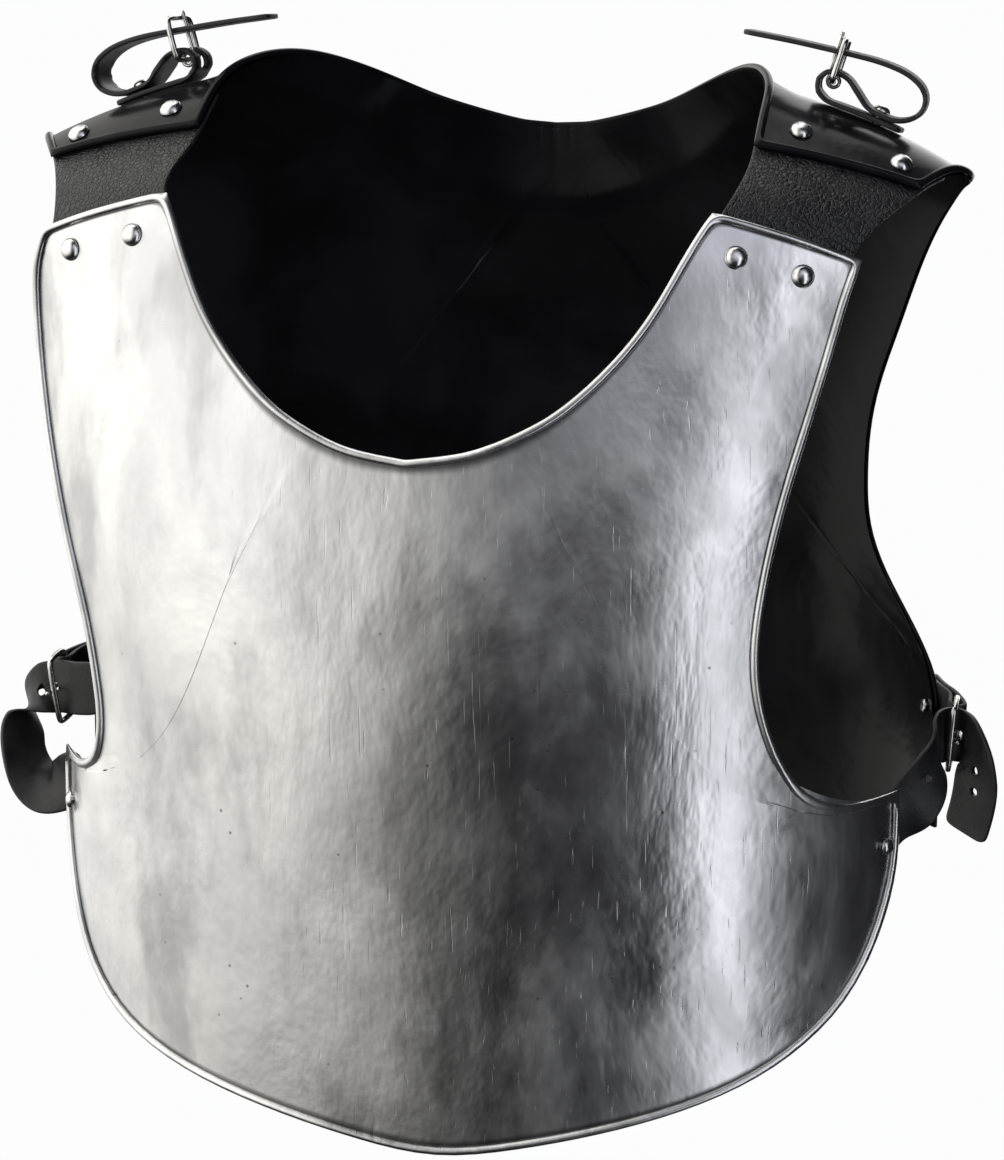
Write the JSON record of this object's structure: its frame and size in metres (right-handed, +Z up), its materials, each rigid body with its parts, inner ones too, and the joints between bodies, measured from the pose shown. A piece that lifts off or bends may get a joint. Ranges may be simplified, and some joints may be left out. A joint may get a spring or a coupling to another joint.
{
  "type": "steel cuirass",
  "caption": "Polished steel breastplate and blackened steel backplate joined over the shoulders by grained black leather, with buckled leather straps at the flanks and shoulders.",
  "frame": {"origin": "Midway between the two places on top of the shoulders where a wearer or a display form carries the cuirass.", "axes": "The wearer faces -Y and the wearer's left is +X. +Z is up, from the waist to the neck."},
  "size_m": [0.4689, 0.2552, 0.4964],
  "materials": {
    "polished_steel": "hand polished, cloudy, with fine scratches and pits",
    "black_steel": "gloss black, as forged and oiled",
    "rivet_steel": "polished domed heads",
    "buckle_steel": "bright plated wire",
    "grain_leather": "black with a coarse pebble grain",
    "strap_leather": "smooth dark grey with fine grain"
  },
  "bodies": {
    "root": {"breast_plate": "polished_steel", "back_plate": "black_steel", "shoulder_leather_left": "grain_leather", "shoulder_leather_right": "grain_leather", "breast_tab_rivet_left_inner": "rivet_steel", "breast_tab_rivet_left_outer": "rivet_steel", "breast_tab_rivet_right_inner": "rivet_steel", "breast_tab_rivet_right_outer": "rivet_steel", "back_tab_rivet_left_inner": "rivet_steel", "back_tab_rivet_left_outer": "rivet_steel", "back_tab_rivet_right_inner": "rivet_steel", "back_tab_rivet_right_outer": "rivet_steel", "shoulder_left_strap": "strap_leather", "shoulder_left_buckle": "buckle_steel", "shoulder_left_prong": "buckle_steel", "shoulder_left_rivet": "rivet_steel", "shoulder_right_strap": "strap_leather", "shoulder_right_buckle": "buckle_steel", "shoulder_right_prong": "buckle_steel", "shoulder_right_rivet": "rivet_steel", "flank_left_strap": "strap_leather", "flank_left_chape": "strap_leather", "flank_left_buckle": "buckle_steel", "flank_left_prong": "buckle_steel", "flank_left_strap_rivet": "rivet_steel", "flank_left_chape_rivet": "rivet_steel", "flank_right_strap": "strap_leather", "flank_right_chape": "strap_leather", "flank_right_buckle": "buckle_steel", "flank_right_prong": "buckle_steel", "flank_right_strap_rivet": "rivet_steel", "flank_right_chape_rivet": "rivet_steel"}
  },
  "joints": []
}
